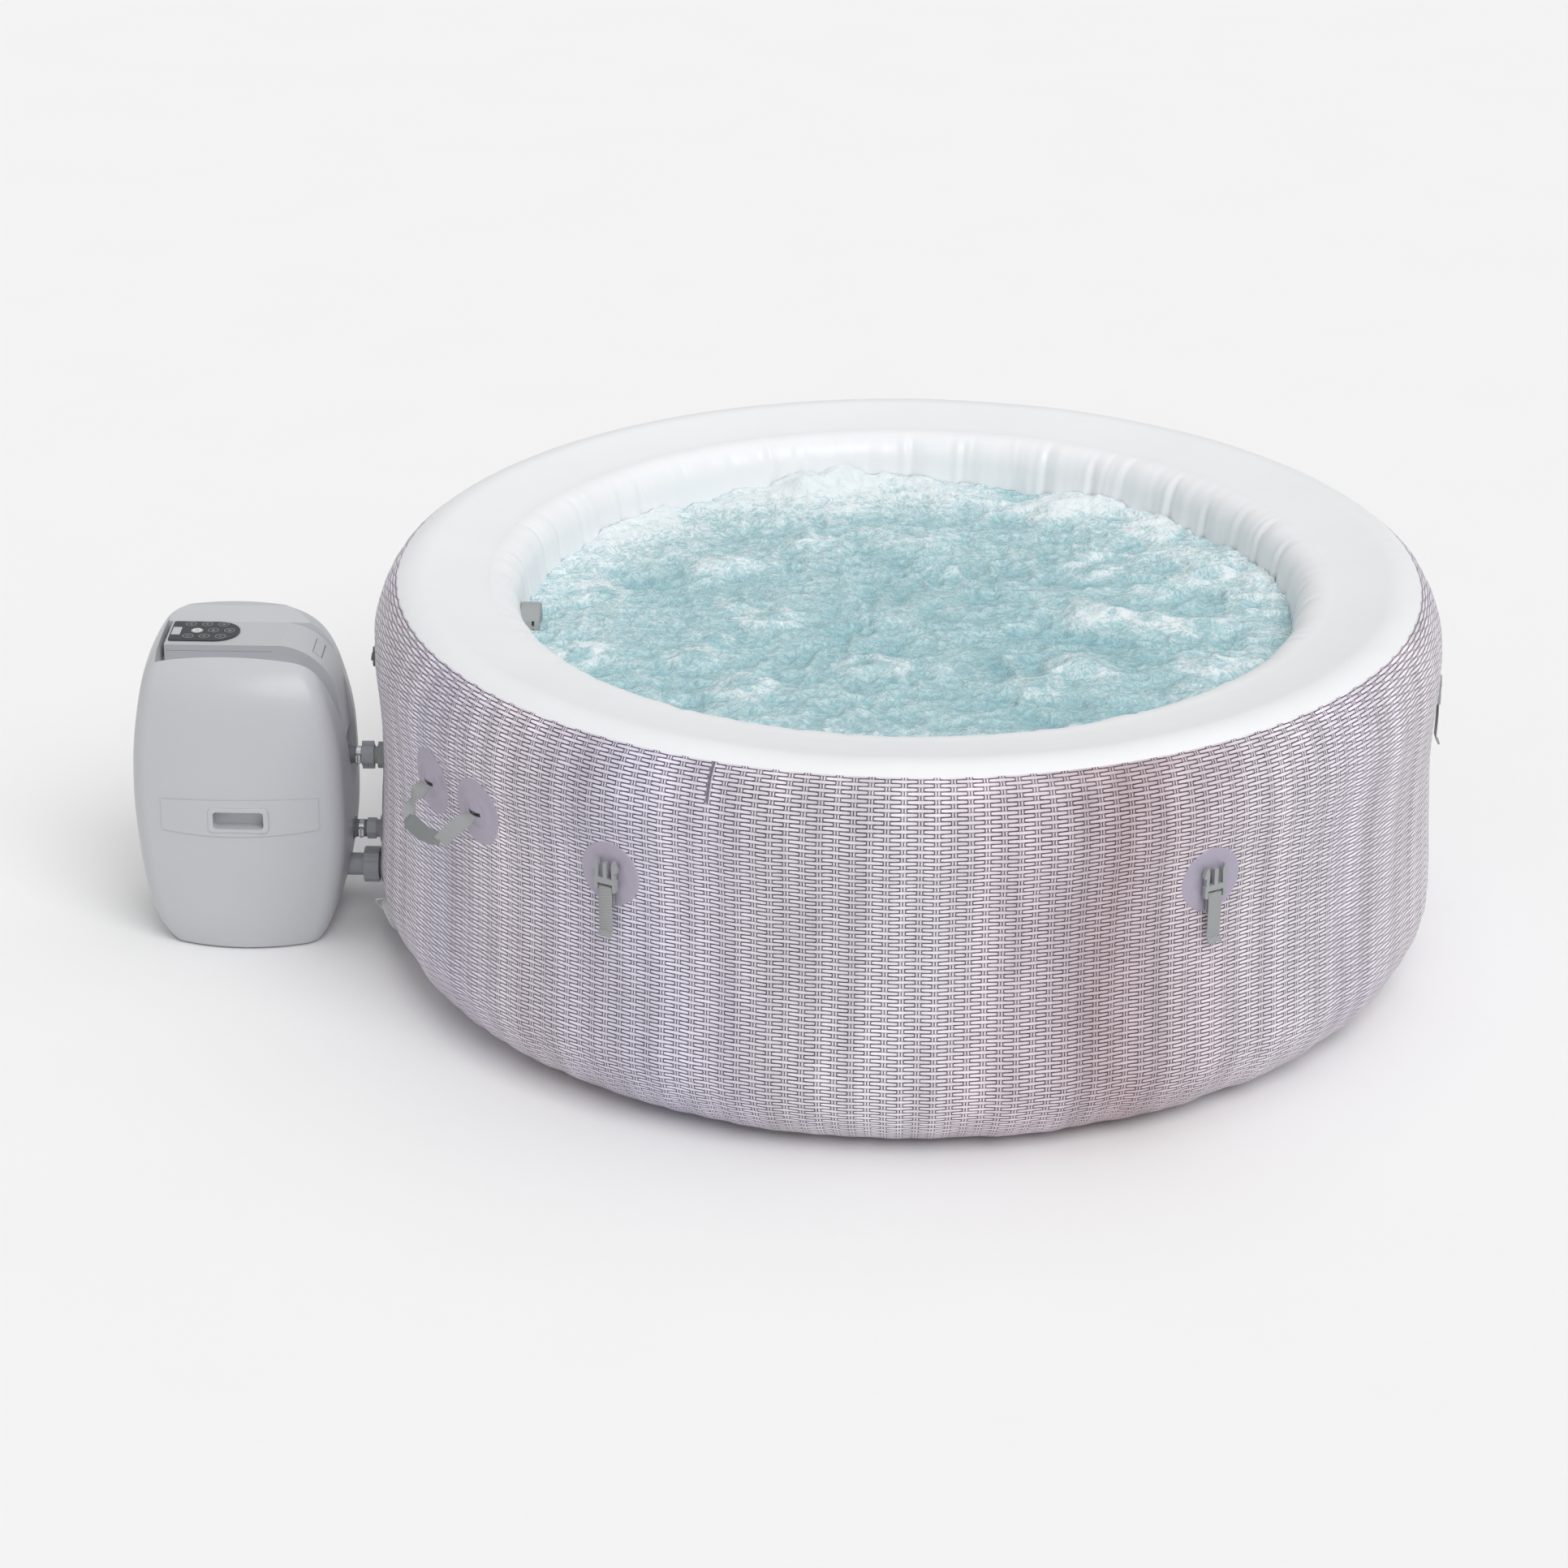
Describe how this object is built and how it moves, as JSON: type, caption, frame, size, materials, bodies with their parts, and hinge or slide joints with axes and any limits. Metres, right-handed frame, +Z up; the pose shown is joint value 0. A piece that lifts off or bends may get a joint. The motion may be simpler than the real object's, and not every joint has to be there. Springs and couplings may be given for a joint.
{
  "type": "inflatable hot tub",
  "caption": "Round inflatable hot tub with wicker-print wall, carry handles, cover buckles and a plug-in pump and heater unit joined by union couplings.",
  "frame": {"origin": "centre of the tub's underside on the ground", "axes": "+Z up, -X towards the pump unit, -Y towards the front"},
  "size_m": [2.2295, 1.8046, 0.6662],
  "materials": {
    "printed_pvc": "Printed laminated PVC skin with a woven cane pattern, semi-matt",
    "white_pvc": "White laminated PVC skin, satin",
    "patch_pvc": "Lilac grey welded PVC patch",
    "webbing": "Ribbed grey polypropylene webbing",
    "cord": "Thin white braided cord",
    "mid_plastic": "Mid grey moulded plastic",
    "dark_plastic": "Dark grey moulded plastic",
    "white_plastic": "Off-white moulded plastic",
    "grey_rubber": "Grey rubber",
    "case_plastic": "Light cool grey moulded housing, semi-gloss",
    "panel_film": "Dark glossy control film",
    "button": "Glossy round keys with pale rings",
    "steel": "Stainless steel",
    "filter_paper": "Pleated filter fabric",
    "board": "Circuit board"
  },
  "bodies": {
    "tub": {"outer_wall": "printed_pvc", "top_ring": "white_pvc", "inner_wall": "white_pvc", "base_sheet": "white_pvc", "wall_webs": "white_pvc", "bubble_channel": "white_pvc", "air_hose": "grey_rubber", "wall_patches": "patch_pvc", "buckle_straps": "webbing", "air_valve_body": "patch_pvc", "drain_valve_body": "white_plastic", "drain_tether": "cord", "wall_stubs": "mid_plastic", "gaskets": "grey_rubber", "filter_housing": "white_plastic", "filter_cartridge": "filter_paper", "wall_fittings": "mid_plastic"},
    "air_valve_cap": {"air_valve_cap": "dark_plastic"},
    "drain_cap": {"drain_cap": "white_plastic"},
    "filter_cap": {"filter_cap": "white_plastic"},
    "carry_handle_1": {"carry_strap_1": "webbing", "carry_grip_1": "mid_plastic"},
    "carry_handle_2": {"carry_strap_2": "webbing", "carry_grip_2": "mid_plastic"},
    "pump_unit": {"lower_housing": "case_plastic", "upper_housing": "case_plastic", "top_band": "case_plastic", "control_overlay": "panel_film", "handle_pockets": "case_plastic", "pump_pipes": "mid_plastic", "rubber_boots": "grey_rubber", "hose_clamps": "steel", "circulation_pump": "dark_plastic", "heater_tube": "steel", "blower_housing": "dark_plastic", "control_board": "board", "cord_gland": "dark_plastic", "feet": "grey_rubber", "case_screws": "steel"},
    "port_flap": {"port_flap": "case_plastic"},
    "pump_impeller": {"pump_impeller": "mid_plastic"},
    "blower_impeller": {"blower_impeller": "mid_plastic"},
    "buckle_1": {"buckle_1": "mid_plastic"},
    "buckle_2": {"buckle_2": "mid_plastic"},
    "buckle_3": {"buckle_3": "mid_plastic"},
    "buckle_4": {"buckle_4": "mid_plastic"},
    "buckle_5": {"buckle_5": "mid_plastic"},
    "buckle_6": {"buckle_6": "mid_plastic"},
    "air_nut": {"air_nut": "mid_plastic"},
    "return_nut": {"return_nut": "mid_plastic"},
    "suction_nut": {"suction_nut": "mid_plastic"},
    "button_1": {"button_1": "button"},
    "button_2": {"button_2": "button"},
    "button_3": {"button_3": "button"},
    "button_4": {"button_4": "button"},
    "button_5": {"button_5": "button"},
    "button_6": {"button_6": "button"},
    "button_7": {"button_7": "button"},
    "button_8": {"button_8": "button"},
    "button_9": {"button_9": "button"}
  },
  "joints": [
    {"name": "pump_detach", "type": "slide", "parent": "tub", "child": "pump_unit", "axis": [-1, 0, 0], "range_m": [0, 0.25]},
    {"name": "air_nut_turn", "type": "hinge", "parent": "pump_unit", "child": "air_nut", "pos_m": [-0.92, -0.02, 0.305], "axis": [1, 0, 0], "range_deg": [0, 360]},
    {"name": "return_nut_turn", "type": "hinge", "parent": "pump_unit", "child": "return_nut", "pos_m": [-0.92, -0.02, 0.166], "axis": [1, 0, 0], "range_deg": [0, 360]},
    {"name": "suction_nut_turn", "type": "hinge", "parent": "pump_unit", "child": "suction_nut", "pos_m": [-0.92, -0.02, 0.097], "axis": [1, 0, 0], "range_deg": [0, 360]},
    {"name": "buckle_1_swing", "type": "hinge", "parent": "tub", "child": "buckle_1", "pos_m": [-0.45902, -0.77926, 0.424], "axis": [0.8616, -0.5075, 0], "range_deg": [0, 100]},
    {"name": "buckle_2_swing", "type": "hinge", "parent": "tub", "child": "buckle_2", "pos_m": [0.4806, -0.76614, 0.424], "axis": [0.8471, 0.5314, 0], "range_deg": [0, 100]},
    {"name": "buckle_3_swing", "type": "hinge", "parent": "tub", "child": "buckle_3", "pos_m": [0.90426, 0.01578, 0.424], "axis": [-0.0175, 0.9998, 0], "range_deg": [0, 100]},
    {"name": "buckle_4_swing", "type": "hinge", "parent": "tub", "child": "buckle_4", "pos_m": [0.43846, 0.79101, 0.424], "axis": [-0.8746, 0.4848, 0], "range_deg": [0, 100]},
    {"name": "buckle_5_swing", "type": "hinge", "parent": "tub", "child": "buckle_5", "pos_m": [-0.43846, 0.79101, 0.424], "axis": [-0.8746, -0.4848, 0], "range_deg": [0, 100]},
    {"name": "buckle_6_swing", "type": "hinge", "parent": "tub", "child": "buckle_6", "pos_m": [-0.88122, 0.20345, 0.424], "axis": [-0.225, -0.9744, 0], "range_deg": [0, 100]},
    {"name": "carry_handle_1_lift", "type": "hinge", "parent": "tub", "child": "carry_handle_1", "pos_m": [-0.72671, -0.53382, 0.462], "axis": [-0.592, 0.8059, 0], "range_deg": [-42, 120]},
    {"name": "carry_handle_2_lift", "type": "hinge", "parent": "tub", "child": "carry_handle_2", "pos_m": [0.72671, 0.53382, 0.462], "axis": [0.592, -0.8059, 0], "range_deg": [-42, 120]},
    {"name": "air_valve_turn", "type": "hinge", "parent": "tub", "child": "air_valve_cap", "pos_m": [-0.89677, -0.047, 0.5], "axis": [-0.9986, -0.0523, 0], "range_deg": [0, 360]},
    {"name": "drain_cap_turn", "type": "hinge", "parent": "tub", "child": "drain_cap", "pos_m": [-0.86368, -0.15229, 0.071], "axis": [-0.8851, -0.1561, -0.4384], "range_deg": [0, 360]},
    {"name": "filter_cap_twist", "type": "hinge", "parent": "tub", "child": "filter_cap", "pos_m": [-0.54, -0.02, 0.097], "axis": [1, 0, 0], "range_deg": [0, 60]},
    {"name": "port_flap_open", "type": "hinge", "parent": "pump_unit", "child": "port_flap", "pos_m": [-0.99916, 0.014, 0.48205], "axis": [0, 1, 0], "range_deg": [0, 95]},
    {"name": "pump_impeller_spin", "type": "hinge", "parent": "pump_unit", "child": "pump_impeller", "pos_m": [-1, -0.02, 0.097], "axis": [1, 0, 0], "continuous": true},
    {"name": "blower_spin", "type": "hinge", "parent": "pump_unit", "child": "blower_impeller", "pos_m": [-1.13, -0.02, 0.3], "axis": [0, 0, 1], "continuous": true},
    {"name": "button_1_press", "type": "slide", "parent": "pump_unit", "child": "button_1", "axis": [0, 0, -1], "range_m": [0, 0.0004], "stiffness_N_per_m": 600, "springref_m": -0.0004},
    {"name": "button_2_press", "type": "slide", "parent": "pump_unit", "child": "button_2", "axis": [0, 0, -1], "range_m": [0, 0.0004], "stiffness_N_per_m": 600, "springref_m": -0.0004},
    {"name": "button_3_press", "type": "slide", "parent": "pump_unit", "child": "button_3", "axis": [0, 0, -1], "range_m": [0, 0.0004], "stiffness_N_per_m": 600, "springref_m": -0.0004},
    {"name": "button_4_press", "type": "slide", "parent": "pump_unit", "child": "button_4", "axis": [0, 0, -1], "range_m": [0, 0.0004], "stiffness_N_per_m": 600, "springref_m": -0.0004},
    {"name": "button_5_press", "type": "slide", "parent": "pump_unit", "child": "button_5", "axis": [0, 0, -1], "range_m": [0, 0.0004], "stiffness_N_per_m": 600, "springref_m": -0.0004},
    {"name": "button_6_press", "type": "slide", "parent": "pump_unit", "child": "button_6", "axis": [0, 0, -1], "range_m": [0, 0.0004], "stiffness_N_per_m": 600, "springref_m": -0.0004},
    {"name": "button_7_press", "type": "slide", "parent": "pump_unit", "child": "button_7", "axis": [0, 0, -1], "range_m": [0, 0.0004], "stiffness_N_per_m": 600, "springref_m": -0.0004},
    {"name": "button_8_press", "type": "slide", "parent": "pump_unit", "child": "button_8", "axis": [0, 0, -1], "range_m": [0, 0.0004], "stiffness_N_per_m": 600, "springref_m": -0.0004},
    {"name": "button_9_press", "type": "slide", "parent": "pump_unit", "child": "button_9", "axis": [0, 0, -1], "range_m": [0, 0.0004], "stiffness_N_per_m": 600, "springref_m": -0.0004}
  ]
}
